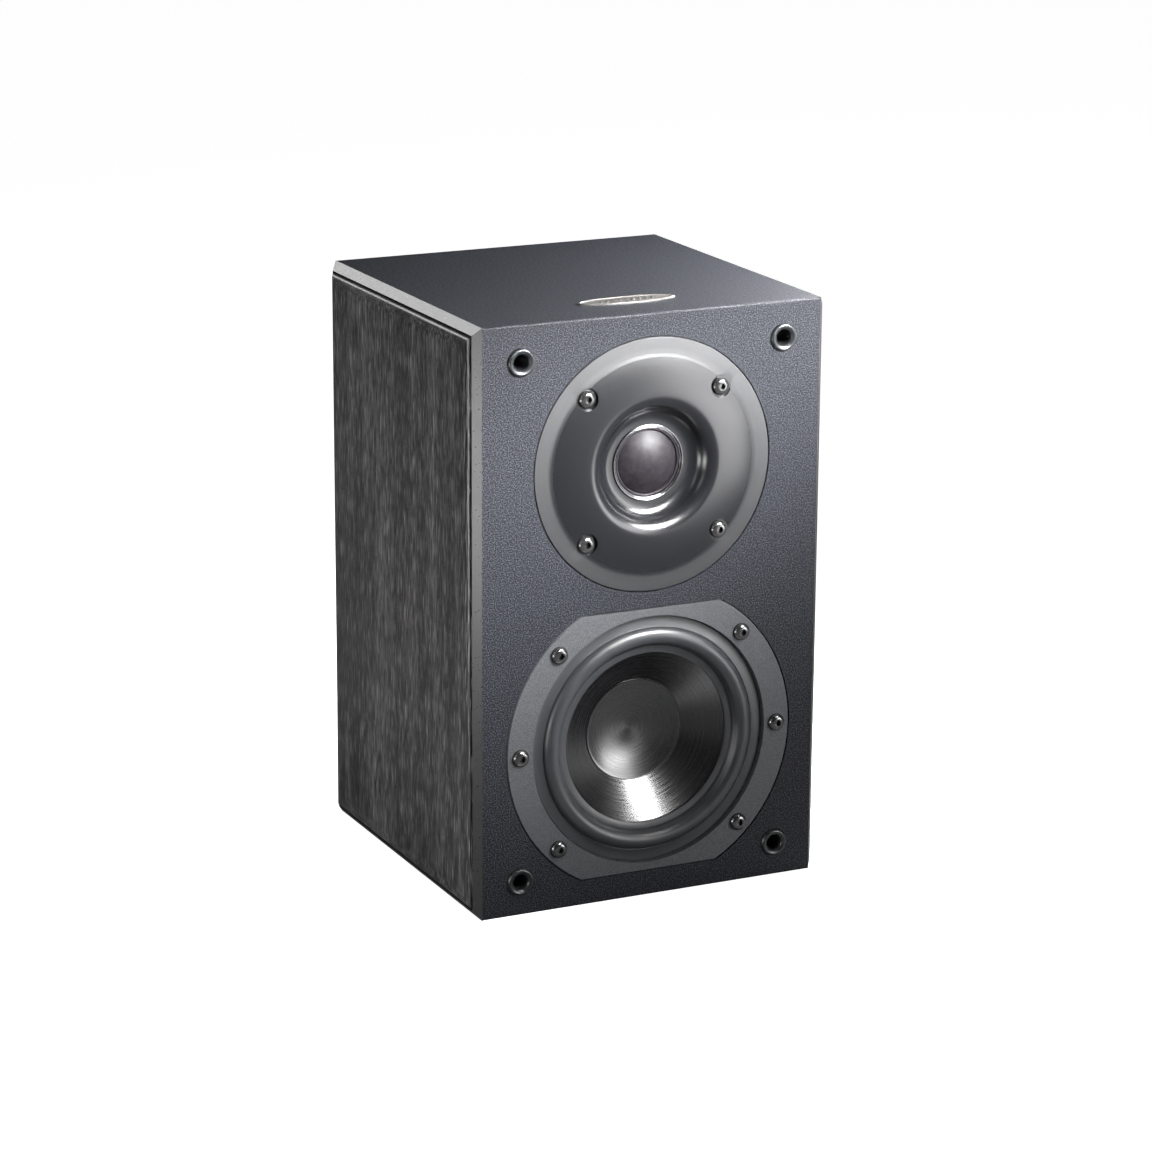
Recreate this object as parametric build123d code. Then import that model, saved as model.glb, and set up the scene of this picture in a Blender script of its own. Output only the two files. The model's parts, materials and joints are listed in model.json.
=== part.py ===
from build123d import *
from math import cos, pi, radians, sin, sqrt
import os

# A two-way bookshelf loudspeaker. Millimetres. The front faces -Y, +X is to the right when
# it is seen from the front, and +Z is up. The origin is the middle of the cabinet's base.

# ---- driving dimensions of the cabinet ----
HEIGHT = 240.0           # base to top
FACE_WIDTH = 147.0       # front face between its two upright edges
DEPTH = 148.0            # front face to back face
BOARD = 12.0             # thickness of the folded fibreboard carcass
ARRIS = 0.9              # radius of the wrapped edges between front, top, back and bottom
FRONT_Y = -DEPTH / 2
BACK_Y = DEPTH / 2
FACE_X = FACE_WIDTH / 2

# ---- side trims and side panels ----
SIDE_BOARD = 11.0        # inner side board, let in flush with the carcass
CHAMFER_RISE = 2.7       # how far the trim's chamfer stands out sideways
CHAMFER_INSET = 3.5      # how far the chamfer runs in from the cabinet's edges
TRIM_WEB = 1.0           # thin flange of the trim, under the side panel
TRIM_INSET = 12.0        # inner edge of that flange
GROOVE = 0.9             # shadow gap between the trim and the side panel
PANEL_CROWN = 2.0        # the side panel's rise above the trim
PANEL_BEVEL = 6.5        # width of the panel's soft bevel
PANEL_CORNER = 0.6       # rounds of the panel's corners
TRIM_CORNER = 1.0        # rounds of the trim's inner corners

# ---- tweeter, on the centre line ----
TWEETER_Z = 179.0
TWEETER_R = 51.25        # faceplate
TWEETER_RECESS_R = 51.7
TWEETER_PLATE = 3.2      # faceplate thickness
TWEETER_HOLE_R = 38.0    # hole through the baffle
TWEETER_BOSS_R = 36.0    # rear boss that carries the motor
TWEETER_SCREW = 29.1     # screw places, each way from the tweeter's centre
DOME_R = 12.8

# ---- woofer, on the centre line ----
WOOFER_Z = 65.7
WOOFER_R = 62.8          # round edge of the chassis
WOOFER_FLAT = 54.8       # its flat top and bottom edges, from the centre
CHASSIS_CORNER = 3.0     # round where the flats meet the round edge
WOOFER_PLATE = 3.0       # flange thickness
WOOFER_HOLE_R = 53.0     # hole through the baffle
WOOFER_SCREW_R = 57.0    # radius of the screw circle
WOOFER_SCREW_ANGLES = (0, 45, 135, 180, 225, 315)
CONE_R = 35.5            # visible edge of the cone
CONE_EDGE = 4.4          # depth of that edge behind the front face
CONE_NECK_R = 12.85
CONE_SLOPE = 0.738       # depth gained for each millimetre towards the axis
CAP_R = 20.6             # dust cap

RECESS = 4.0             # depth of both driver recesses in the baffle
FIT = 0.4                # gap around each driver's edge
PILOT_R = 1.75           # pilot holes for the wood screws
SCREW_LENGTH = 11.0      # under the head
SCREW_HEAD_R = 3.65
SCREW_HEAD = 2.1         # height of the domed head
SCREW_PASS = 0.4         # free space around a shank in a faceplate or flange
SCREW_SHANK_R = 1.7
FREE = 0.05              # free space around a piece in its drilled seat

# ---- grille sockets ----
SOCKET_X = 57.0
SOCKET_LOW_Z = 14.1
SOCKET_HIGH_Z = 225.2
SOCKET_R = 5.8           # flange
SOCKET_BORE_R = 3.0
SOCKET_SHANK_R = 4.2     # the shank tapers for a push fit
SOCKET_TIP_R = 3.9
SOCKET_LENGTH = 9.0      # shank inside the baffle
SOCKET_BORE = 8.0        # depth of the bore

# ---- back of the cabinet ----
CUP_Z = 75.0
CUP_FLANGE = 66.0
CUP_BODY = 50.0
CUP_WALL = 2.0
CUP_DEPTH = 20.0         # recess floor behind the back face
CUP_CORNER = 4.5
CUP_SCREW = 28.5
CUP_PILOT_R = 1.3
POST_X = 9.5             # binding posts stand 19 mm apart
POST_R = 3.0
POST_BORE_R = 2.05       # takes a 4 mm plug
POST_BORE = 12.0
RUNNING = 0.08           # radial play of a knob on its stud
COLLAR = 3.0
WASHER = 1.2
KNOB_R = 6.4
KNOB_LENGTH = 14.0
KNOB_FLUTES = 12
FLUTE_R = 1.0
CLEAR = 0.3              # free gap between pieces that move apart
PORT_Z = 178.0
PORT_R = 17.5
PORT_WALL = 2.5
PORT_LENGTH = 70.0
PORT_FLANGE_R = 27.0
INSERT_Z = 222.0
INSERT_R = 4.0
INSERT_BORE_R = 2.5
INSERT_LENGTH = 10.0

# ---- crossover ----
BOARD_X = 76.0
BOARD_Y = 56.0
BOARD_THICK = 1.6
BOARD_HOLE_INSET = 4.5
BOARD_HOLE_R = 1.7
BOARD_SCREW_R = 1.3
BOARD_CENTRE_Y = 28.0
STANDOFF = 6.0
STANDOFF_R = 3.0

os.makedirs("parts", exist_ok=True)


def save(name, shape):
    """Write one piece, or one group of identical pieces, to its own STEP file."""
    export_step(shape, "parts/" + name + ".step")


def lathe(outline, height):
    """Turn an outline of (radius, depth behind the front face) about a level axis."""
    return Pos(0, FRONT_Y, height) * revolve(make_face(outline), Axis.Y)


def tube(inner, outer, front, back, height):
    """A plain round tube about a driver's axis, between two depths."""
    outline = Polyline((inner, front), (outer, front), (outer, back), (inner, back), close=True)
    return lathe(outline, height)


def upright(sketch, y, thickness):
    """Lift a sketch of (x, z) into a plate that starts at y and runs towards the back."""
    return Location((0, y, 0), (90, 0, 0)) * extrude(sketch, -thickness)


def rod(x, z, y, radius, length):
    """A cylinder along Y that starts at y and runs towards the back."""
    return Pos(x, y + length / 2, z) * Rot(90, 0, 0) * Cylinder(radius, length)


def cap_arc(rim, depth, apex):
    """The arc of a round cap, from its rim at (radius, depth) to its apex on the axis."""
    sag = depth - apex
    sphere = (rim**2 + sag**2) / (2 * sag)
    half = rim / 2
    middle = apex + sphere - (1 if sphere > 0 else -1) * sqrt(sphere**2 - half**2)
    return ThreePointArc((rim, depth), (half, middle), (0, apex))


def cone_depth(radius):
    """Depth of the woofer cone's front surface at a radius."""
    return CONE_EDGE + (CONE_R - radius) * CONE_SLOPE


# ---------------------------------------------------------------- cabinet carcass
def mitred_board(length, x_turn):
    """One board of the folded carcass, outer face at z = 0, mitred at both ends along Y."""
    outer = length / 2
    inner = outer - BOARD
    flat = outer - ARRIS
    eighth = (flat + ARRIS * sin(pi / 8), ARRIS * cos(pi / 8) - ARRIS)
    seam = (flat + ARRIS * sin(pi / 4), ARRIS * cos(pi / 4) - ARRIS)
    right_round = ThreePointArc((flat, 0), eighth, seam)
    left_round = ThreePointArc((-flat, 0), (-eighth[0], eighth[1]), (-seam[0], seam[1]))
    faces = Polyline((-seam[0], seam[1]), (-inner, -BOARD), (inner, -BOARD), seam)
    section = make_face(left_round + Line((-flat, 0), (flat, 0)) + right_round + faces)
    return Rot(x_turn, 0, 0) * extrude(Plane.YZ * section, FACE_X, both=True)


def chassis_outline(growth):
    """The woofer chassis edge: a circle with flat top and bottom, grown by a gap."""
    circle = Circle(WOOFER_R + growth)
    band = Rectangle(3 * WOOFER_R, 2 * (WOOFER_FLAT + growth))
    outline = circle & band
    return fillet(outline.vertices(), CHASSIS_CORNER)


def woofer_screw_places():
    return [
        (WOOFER_SCREW_R * cos(radians(angle)), WOOFER_Z + WOOFER_SCREW_R * sin(radians(angle)))
        for angle in WOOFER_SCREW_ANGLES
    ]


def tweeter_screw_places():
    reach = (-TWEETER_SCREW, TWEETER_SCREW)
    return [(x, TWEETER_Z + z) for x in reach for z in reach]


def socket_places():
    return [(x, z) for x in (-SOCKET_X, SOCKET_X) for z in (SOCKET_LOW_Z, SOCKET_HIGH_Z)]


def cup_screw_places():
    return [(x, CUP_Z + z) for x in (-CUP_SCREW, CUP_SCREW) for z in (-CUP_SCREW, CUP_SCREW)]


socket_seat = Polyline((0, 0), (SOCKET_SHANK_R + FREE, 0), (SOCKET_TIP_R + FREE, SOCKET_LENGTH),
                       (0, SOCKET_LENGTH), close=True)

top_panel = Pos(0, 0, HEIGHT) * mitred_board(DEPTH, 0)
bottom_panel = mitred_board(DEPTH, 180)

baffle = Pos(0, FRONT_Y, HEIGHT / 2) * mitred_board(HEIGHT, 90)
baffle -= upright(Pos(0, WOOFER_Z) * chassis_outline(FIT), FRONT_Y, RECESS)
baffle -= upright(Pos(0, TWEETER_Z) * Circle(TWEETER_RECESS_R), FRONT_Y, RECESS)
baffle -= rod(0, WOOFER_Z, FRONT_Y, WOOFER_HOLE_R, BOARD)
baffle -= rod(0, TWEETER_Z, FRONT_Y, TWEETER_HOLE_R, BOARD)
for place in woofer_screw_places() + tweeter_screw_places():
    baffle -= rod(*place, FRONT_Y, PILOT_R, BOARD)
for socket_x, socket_z in socket_places():
    baffle -= Pos(socket_x, 0, 0) * lathe(socket_seat, socket_z)

back_panel = Pos(0, BACK_Y, HEIGHT / 2) * mitred_board(HEIGHT, -90)
cup_opening = RectangleRounded(CUP_BODY + 1, CUP_BODY + 1, CUP_CORNER + 0.5)
back_panel -= upright(Pos(0, CUP_Z) * cup_opening, BACK_Y - BOARD, BOARD)
back_panel -= rod(0, PORT_Z, BACK_Y - BOARD, PORT_R + PORT_WALL + FREE, BOARD)
back_panel -= rod(0, INSERT_Z, BACK_Y - INSERT_LENGTH, INSERT_R + FREE / 2, INSERT_LENGTH)
for place in cup_screw_places():
    back_panel -= rod(*place, BACK_Y - BOARD, CUP_PILOT_R, BOARD)

side_board = Box(SIDE_BOARD, DEPTH - 2 * BOARD, HEIGHT - 2 * BOARD)
side_board_right = Pos(FACE_X - SIDE_BOARD / 2, 0, HEIGHT / 2) * side_board
side_board_left = mirror(side_board_right, Plane.YZ)

save("top_panel", top_panel)
save("bottom_panel", bottom_panel)
save("front_baffle", baffle)
save("back_panel", back_panel)
save("side_board_right", side_board_right)
save("side_board_left", side_board_left)


# ---------------------------------------------------------------- side trims and side panels
def side_rectangle(inset, radius=0.0):
    """A rectangle on the cabinet's side, inset from all four edges, drawn in (y, z)."""
    size = (DEPTH - 2 * inset, HEIGHT - 2 * inset)
    return RectangleRounded(*size, radius) if radius else Rectangle(*size)


def side_place(sketch, x):
    """Put a sketch of (y, z) upright on the right side at x."""
    return Plane.YZ.offset(x) * Pos(0, HEIGHT / 2) * sketch


def side_lift(sketch, x, thickness):
    """Lift a sketch of (y, z) off the right side, from x outwards."""
    return extrude(side_place(sketch, x), thickness)


def edge_trim():
    """A frame round the side: a chamfered rim outside and a thin flange under the panel."""
    rim = loft([
        side_place(side_rectangle(0), FACE_X),
        side_place(side_rectangle(CHAMFER_INSET), FACE_X + CHAMFER_RISE),
    ])
    rim -= side_lift(side_rectangle(CHAMFER_INSET, TRIM_CORNER), FACE_X + TRIM_WEB, CHAMFER_RISE)
    rim -= side_lift(side_rectangle(TRIM_INSET), FACE_X, TRIM_WEB)
    return rim


def side_panel():
    """The outer side panel: a tongue inside the trim, then a board with a soft raised bevel."""
    edge = CHAMFER_INSET + GROOVE
    base = side_lift(side_rectangle(edge, PANEL_CORNER), FACE_X + TRIM_WEB, CHAMFER_RISE - TRIM_WEB)
    tongue = side_lift(side_rectangle(TRIM_INSET), FACE_X, TRIM_WEB)
    crown_steps = []
    for turn in (0, 30, 60, 90):
        inset = edge + PANEL_BEVEL * (1 - cos(radians(turn)))
        rise = PANEL_CROWN * sin(radians(turn))
        crown_steps.append(side_place(side_rectangle(inset, PANEL_CORNER), FACE_X + CHAMFER_RISE + rise))
    return base + tongue + loft(crown_steps, ruled=True)


edge_trim_right = edge_trim()
side_panel_right = side_panel()
save("edge_trim_right", edge_trim_right)
save("edge_trim_left", mirror(edge_trim_right, Plane.YZ))
save("side_panel_right", side_panel_right)
save("side_panel_left", mirror(side_panel_right, Plane.YZ))


# ---------------------------------------------------------------- oval badge on the top
BADGE_LENGTH = 42.0
BADGE_WIDTH = 11.5
BADGE_THICK = 0.8
BADGE_SETBACK = 24.5     # its centre, behind the front face
BADGE_EDGE = 0.25        # chamfer of its rim
BADGE_STROKES = 9        # slanted grooves that decorate it
STROKE_PITCH = 2.8
STROKE_LEAN = -25
STROKE = (0.8, 4.4, 0.5)

badge = extrude(Ellipse(BADGE_LENGTH / 2, BADGE_WIDTH / 2), BADGE_THICK)
badge = chamfer(badge.faces().sort_by(Axis.Z)[-1].edges(), BADGE_EDGE)
for stroke in range(BADGE_STROKES):
    stroke_x = (stroke - (BADGE_STROKES - 1) / 2) * STROKE_PITCH
    badge -= Pos(stroke_x, 0, BADGE_THICK) * Rot(0, 0, STROKE_LEAN) * Box(*STROKE)
save("badge_plate", Pos(0, FRONT_Y + BADGE_SETBACK, HEIGHT) * badge)


# ---------------------------------------------------------------- grille sockets
def grille_socket(x, z):
    """A flanged plastic socket with a funnel mouth for a grille peg."""
    outline = Polyline(
        (SOCKET_BORE_R, SOCKET_BORE), (SOCKET_BORE_R, 0.2), (SOCKET_BORE_R + 0.9, -0.9),
        (SOCKET_R - 1.0, -1.3), (SOCKET_R - 0.3, -1.0), (SOCKET_R, 0), (SOCKET_SHANK_R, 0),
        (SOCKET_TIP_R, SOCKET_LENGTH - FREE), (0, SOCKET_LENGTH - FREE), (0, SOCKET_BORE), close=True,
    )
    return Pos(x, 0, 0) * lathe(outline, z)


save("grille_sockets", Compound([grille_socket(*place) for place in socket_places()]))


# ---------------------------------------------------------------- driver screws
HEX_SOCKET_R = 1.4
HEX_SOCKET_DEPTH = 1.5
HEAD_FLAT_R = 1.5        # flat top of the domed head
SCREW_POINT = 2.5        # length of the tapering tip


def driver_screw(x, z):
    """A domed socket-head wood screw, its head seated on the front plane."""
    dome = ThreePointArc((HEAD_FLAT_R, -SCREW_HEAD), (3.1, -1.4), (SCREW_HEAD_R, -0.3))
    shank = Polyline(
        (SCREW_HEAD_R, -0.3), (SCREW_HEAD_R, 0), (SCREW_SHANK_R, 0),
        (SCREW_SHANK_R, SCREW_LENGTH - SCREW_POINT), (0, SCREW_LENGTH), (0, -SCREW_HEAD),
        (HEAD_FLAT_R, -SCREW_HEAD),
    )
    screw = Pos(x, 0, 0) * lathe(dome + shank, z)
    socket = Pos(x, z) * RegularPolygon(HEX_SOCKET_R, 6)
    return screw - upright(socket, FRONT_Y - SCREW_HEAD, HEX_SOCKET_DEPTH)


save("woofer_screws", Compound([driver_screw(*place) for place in woofer_screw_places()]))
save("tweeter_screws", Compound([driver_screw(*place) for place in tweeter_screw_places()]))


# ---------------------------------------------------------------- tweeter
PLATE_HILL = -2.2        # crest of the faceplate's raised lip, in front of the front face
THROAT = 4.6             # depth of the throat floor
THROAT_R = 15.4
TWEETER_MOTOR = 8.0      # depth of the motor's front
HILL_R = 28.0            # radius of the lip's crest
HILL_FOOT_R = 45.0       # where the hill meets the flat rim
POCKET_R = 4.6           # screw seats let into the hill
POCKET_REACH = 4.0
TWEETER_COIL_R = 12.55
TWEETER_GAP_R = 13.25
TWEETER_POLE_R = 12.0

plate_outline = (
    Polyline((THROAT_R, TWEETER_MOTOR), (THROAT_R, THROAT), (17.6, THROAT))
    + ThreePointArc((17.6, THROAT), (20.4, 3.5), (22.2, 1.4))
    + ThreePointArc((22.2, 1.4), (24.6, -1.2), (HILL_R, PLATE_HILL))
    + ThreePointArc((HILL_R, PLATE_HILL), (36.5, -1.5), (HILL_FOOT_R, 0))
    + Polyline(
        (HILL_FOOT_R, 0), (TWEETER_R - 0.3, 0), (TWEETER_R, 0.3), (TWEETER_R, TWEETER_PLATE),
        (TWEETER_BOSS_R, TWEETER_PLATE), (TWEETER_BOSS_R, TWEETER_MOTOR), (THROAT_R, TWEETER_MOTOR),
    )
)
faceplate = lathe(plate_outline, TWEETER_Z)
for screw_x, screw_z in tweeter_screw_places():
    faceplate -= rod(screw_x, screw_z, FRONT_Y - POCKET_REACH, POCKET_R, POCKET_REACH)
    faceplate -= rod(screw_x, screw_z, FRONT_Y, SCREW_SHANK_R + SCREW_PASS, TWEETER_PLATE)
save("tweeter_faceplate", faceplate)


GASKET_LEDGE = 0.3       # the gasket stops this far outside the hole
GASKET_PASS = 0.6        # free space around a shank in a gasket
tweeter_gasket = tube(TWEETER_HOLE_R + GASKET_LEDGE, TWEETER_R - 1, TWEETER_PLATE, RECESS, TWEETER_Z)
for place in tweeter_screw_places():
    tweeter_gasket -= rod(*place, FRONT_Y, SCREW_SHANK_R + GASKET_PASS, RECESS)
save("tweeter_gasket", tweeter_gasket)

trim_ring = (
    Polyline((14.1, 6.6), (15.35, 6.6), (15.35, 4.3))
    + ThreePointArc((15.35, 4.3), (15.05, 3.95), (14.75, 4.3))
    + Polyline((14.75, 4.3), (14.75, 5.0), (14.4, 5.0), (14.4, 4.6), (14.1, 4.6), (14.1, 6.6))
)
save("tweeter_trim_ring", lathe(trim_ring, TWEETER_Z))

DOME_RIM = 5.6           # depth of the dome's rim
DOME_APEX = 1.3
DOME_SKIN = 0.3
dome = (
    cap_arc(DOME_R, DOME_RIM, DOME_APEX)
    + Line((0, DOME_APEX), (0, DOME_APEX + DOME_SKIN))
    + cap_arc(DOME_R - DOME_SKIN, DOME_RIM, DOME_APEX + DOME_SKIN)
    + Line((DOME_R - DOME_SKIN, DOME_RIM), (DOME_R, DOME_RIM))
)
save("tweeter_dome", lathe(dome, TWEETER_Z))

tweeter_roll = (
    Polyline((12.9, 5.6), (12.9, 5.3))
    + ThreePointArc((12.9, 5.3), (13.45, 4.9), (14.0, 5.3))
    + Polyline((14.0, 5.3), (14.0, 5.6))
    + ThreePointArc((14.0, 5.6), (13.45, 5.2), (12.9, 5.6))
)
save("tweeter_surround", lathe(tweeter_roll, TWEETER_Z))


def yoke(pole_r, pole_front, plate_r, plate_front, plate_back, vent_r, height):
    """A steel back plate with its pole piece, vented down the middle."""
    outline = Polyline(
        (vent_r, pole_front), (pole_r, pole_front), (pole_r, plate_front), (plate_r, plate_front),
        (plate_r, plate_back), (vent_r, plate_back), close=True,
    )
    return lathe(outline, height)


save("tweeter_former", tube(TWEETER_COIL_R - 0.15, TWEETER_COIL_R, DOME_RIM, 12.0, TWEETER_Z))
save("tweeter_coil", tube(TWEETER_COIL_R, TWEETER_COIL_R + 0.3, 8.3, 10.9, TWEETER_Z))
save("tweeter_top_plate", tube(TWEETER_GAP_R, 32.0, TWEETER_MOTOR, 11.0, TWEETER_Z))
save("tweeter_magnet", tube(16.5, 30.0, 11.0, 22.0, TWEETER_Z))
save("tweeter_yoke", yoke(TWEETER_POLE_R, 7.6, 29.0, 22.0, 26.0, 2.0, TWEETER_Z))

TAB_X = 8.0
TAB_Z = TWEETER_Z - 33.6
TAB = (5.0, 12.0, 0.8)
TAB_Y = FRONT_Y + TWEETER_MOTOR
tweeter_tabs = [Pos(side * TAB_X, TAB_Y + TAB[1] / 2, TAB_Z) * Box(*TAB) for side in (-1, 1)]
save("tweeter_terminals", Compound(tweeter_tabs))


# ---------------------------------------------------------------- woofer
FLANGE_EDGE_R = 51.6     # inner edge of the flat flange
FLOOR = 2.6              # depth of the seat for the surround
SPIDER_DEPTH = 25.0
BASKET_BACK = 38.0
PLATE_BACK = 43.0
MAGNET_BACK = 57.0
YOKE_BACK = 61.0
COIL_R = 12.8
SEAT_R = 44.6
WINDOWS = 6              # openings between the basket's spokes
WINDOW = (26.0, 14.0, 20.0)
WINDOW_DEPTH = 15.5
WINDOW_R = 43.0

basket_outline = Polyline(
    (WOOFER_R, 0.4), (WOOFER_R - 0.4, 0), (FLANGE_EDGE_R, 0), (FLANGE_EDGE_R - 0.5, FLOOR),
    (SEAT_R, FLOOR), (SEAT_R, 6.0), (37.5, SPIDER_DEPTH), (32.5, SPIDER_DEPTH), (32.5, 35.5),
    (20.0, 35.5), (20.0, BASKET_BACK), (34.5, BASKET_BACK), (34.5, 27.0), (39.6, 27.0),
    (46.8, 6.5), (WOOFER_HOLE_R - 0.5, 4.6),
    (WOOFER_HOLE_R - 0.5, WOOFER_PLATE), (WOOFER_R, WOOFER_PLATE), close=True,
)
basket = lathe(basket_outline, WOOFER_Z)
basket &= upright(Pos(0, WOOFER_Z) * chassis_outline(0), FRONT_Y, BASKET_BACK)
for window in range(WINDOWS):
    turn = Pos(0, 0, WOOFER_Z) * Rot(0, 360 / WINDOWS * (window + 0.5), 0)
    basket -= turn * Pos(0, FRONT_Y + WINDOW_DEPTH, WINDOW_R) * Box(*WINDOW)
for place in woofer_screw_places():
    basket -= rod(*place, FRONT_Y, SCREW_SHANK_R + SCREW_PASS, WOOFER_PLATE)
save("woofer_basket", basket)

seal = Pos(0, WOOFER_Z) * (offset(chassis_outline(0), -0.8) - Circle(WOOFER_HOLE_R + GASKET_LEDGE))
woofer_gasket = upright(seal, FRONT_Y + WOOFER_PLATE, RECESS - WOOFER_PLATE)
for place in woofer_screw_places():
    woofer_gasket -= rod(*place, FRONT_Y, SCREW_SHANK_R + GASKET_PASS, RECESS)
save("woofer_gasket", woofer_gasket)

LAND = 3.3               # depth of the surround's inner land
SKIN = 0.6
roll = (
    Polyline((50.8, FLOOR), (50.8, FLOOR - SKIN), (46.4, FLOOR - SKIN))
    + ThreePointArc((46.4, FLOOR - SKIN), (42.5, -0.6), (38.8, LAND))
    + Polyline((38.8, LAND), (CONE_R, LAND), (CONE_R, LAND + SKIN), (38.2, LAND + SKIN))
    + ThreePointArc((38.2, LAND + SKIN), (42.5, 0.1), (46.2, FLOOR))
    + Line((46.2, FLOOR), (50.8, FLOOR))
)
save("woofer_surround", lathe(roll, WOOFER_Z))

CONE_SKIN = 0.8
cone = Polyline(
    (CONE_R, CONE_EDGE), (CONE_R, LAND + SKIN + 0.1), (38.2, LAND + SKIN + 0.1), (38.2, CONE_EDGE + 0.5),
    (CONE_R, CONE_EDGE + CONE_SKIN + 0.3), (CONE_NECK_R, cone_depth(CONE_NECK_R) + CONE_SKIN),
    (CONE_NECK_R, cone_depth(CONE_NECK_R)), close=True,
)
save("woofer_cone", lathe(cone, WOOFER_Z))

CAP_SAG = 3.9
CAP_SKIN = 0.5
cap_seat = cone_depth(CAP_R)
cap = (
    cap_arc(CAP_R, cap_seat, cap_seat + CAP_SAG)
    + Line((0, cap_seat + CAP_SAG), (0, cap_seat + CAP_SAG - CAP_SKIN))
    + cap_arc(CAP_R, cap_seat - CAP_SKIN, cap_seat + CAP_SAG - CAP_SKIN)
    + Polyline((CAP_R, cap_seat - CAP_SKIN), (CAP_R + 0.4, cone_depth(CAP_R + 0.4)), (CAP_R, cap_seat))
)
save("woofer_dust_cap", lathe(cap, WOOFER_Z))

SPIDER_WAVES = 5
spider_front = [(13.0, SPIDER_DEPTH - 2 * SKIN)]
spider_back = [(13.0, SPIDER_DEPTH - SKIN)]
for wave in range(2 * SPIDER_WAVES):
    wave_r = 15.0 + wave * 1.6
    wave_depth = SPIDER_DEPTH - SKIN + (0.5 if wave % 2 else -0.9)
    spider_front.append((wave_r, wave_depth - SKIN))
    spider_back.append((wave_r, wave_depth))
for glued_r in (32.6, 36.5):
    spider_front.append((glued_r, SPIDER_DEPTH - SKIN))
    spider_back.append((glued_r, SPIDER_DEPTH))
save("woofer_spider", lathe(Polyline(*spider_front, *reversed(spider_back), close=True), WOOFER_Z))

save("woofer_former", tube(COIL_R - 0.3, COIL_R, 19.2, 46.0, WOOFER_Z))
save("woofer_coil", tube(COIL_R, COIL_R + 0.6, 36.5, 44.5, WOOFER_Z))
save("woofer_top_plate", tube(13.8, 32.0, BASKET_BACK, PLATE_BACK, WOOFER_Z))
save("woofer_magnet", tube(20.0, 35.0, PLATE_BACK, MAGNET_BACK, WOOFER_Z))
save("woofer_yoke", yoke(12.1, 37.5, 33.0, MAGNET_BACK, YOKE_BACK, 3.5, WOOFER_Z))

STRIP_Y = FRONT_Y + 31.0
STRIP_X = -36.1
STRIP = (3.0, 7.0, 22.0)
STRIP_TAB_X = -40.5
STRIP_TAB = (8.0, 4.8, 0.8)
LEAD_RISE = 7.0          # tabs and leads sit this far above and below the axis
strip = Pos(STRIP_X, STRIP_Y, WOOFER_Z) * Box(*STRIP)
for tab_side in (-1, 1):
    strip += Pos(STRIP_TAB_X, STRIP_Y, WOOFER_Z + tab_side * LEAD_RISE) * Box(*STRIP_TAB)
save("woofer_terminal_strip", strip)


# ---------------------------------------------------------------- leads and cables
def round_cable(radius, bend, *points):
    """A round cable of straight runs joined by tangent arcs."""
    path = FilletPolyline(*points, radius=bend)
    start = Plane(origin=path @ 0, z_dir=path % 0)
    return sweep(start * Circle(radius), path)


LEAD_R = 0.5
LEAD_BEND = 3.0
leads = [
    round_cable(
        LEAD_R, LEAD_BEND,
        (-17.2, FRONT_Y + 20.8, lead_z), (-22.0, FRONT_Y + 22.6, lead_z), (-30.5, FRONT_Y + 19.0, lead_z),
    )
    for lead_z in (WOOFER_Z - LEAD_RISE, WOOFER_Z + LEAD_RISE)
]
save("woofer_tinsel_leads", Compound(leads))

BOARD_TOP = BOARD + STANDOFF + BOARD_THICK
CABLE_R = 1.8
CABLE_BEND = 9.0
INPUT_BEND = 8.0
save("woofer_cable", round_cable(
    CABLE_R, CABLE_BEND,
    (-33, 10, BOARD_TOP), (-33, 10, BOARD_TOP + 20), (-52, -8, 45), (-52, STRIP_Y, 50),
    (-52, STRIP_Y, WOOFER_Z - 2), (-46, STRIP_Y, WOOFER_Z + 2),
))
save("tweeter_cable", round_cable(
    CABLE_R, CABLE_BEND,
    (33, 10, BOARD_TOP), (33, 10, BOARD_TOP + 22), (50, -2, 60), (50, -30, 110),
    (30, -50, 135), (TAB_X, TAB_Y + 14, TAB_Z),
))
save("input_cable", round_cable(
    CABLE_R, INPUT_BEND,
    (0, 50, BOARD_TOP), (0, 50, BOARD_TOP + 14), (0, 40, 52), (0, 40, CUP_Z), (0, 47.6, CUP_Z + 4),
))


# ---------------------------------------------------------------- crossover
def corner_places(inset):
    return [
        (x, BOARD_CENTRE_Y + y)
        for x in (-BOARD_X / 2 + inset, BOARD_X / 2 - inset)
        for y in (-BOARD_Y / 2 + inset, BOARD_Y / 2 - inset)
    ]


board = Pos(0, BOARD_CENTRE_Y, BOARD + STANDOFF + BOARD_THICK / 2) * Box(BOARD_X, BOARD_Y, BOARD_THICK)
standoffs = []
board_screws = []
for hole_x, hole_y in corner_places(BOARD_HOLE_INSET):
    board -= Pos(hole_x, hole_y, BOARD_TOP) * Cylinder(BOARD_HOLE_R, 10)
    pillar = Cylinder(STANDOFF_R, STANDOFF) - Cylinder(BOARD_SCREW_R + FREE, STANDOFF)
    standoffs.append(Pos(hole_x, hole_y, BOARD + STANDOFF / 2) * pillar)
    shank = Cylinder(BOARD_SCREW_R, STANDOFF + BOARD_THICK, align=(Align.CENTER, Align.CENTER, Align.MAX))
    head = Cylinder(2.7, 1.8, align=(Align.CENTER, Align.CENTER, Align.MIN))
    slot = Pos(0, 0, 1.8) * (Box(3.4, 0.7, 1.6) + Box(0.7, 3.4, 1.6))
    board_screws.append(Pos(hole_x, hole_y, BOARD_TOP) * (shank + head - slot))
save("crossover_board", board)
save("crossover_standoffs", Compound(standoffs))
save("crossover_screws", Compound(board_screws))


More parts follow.
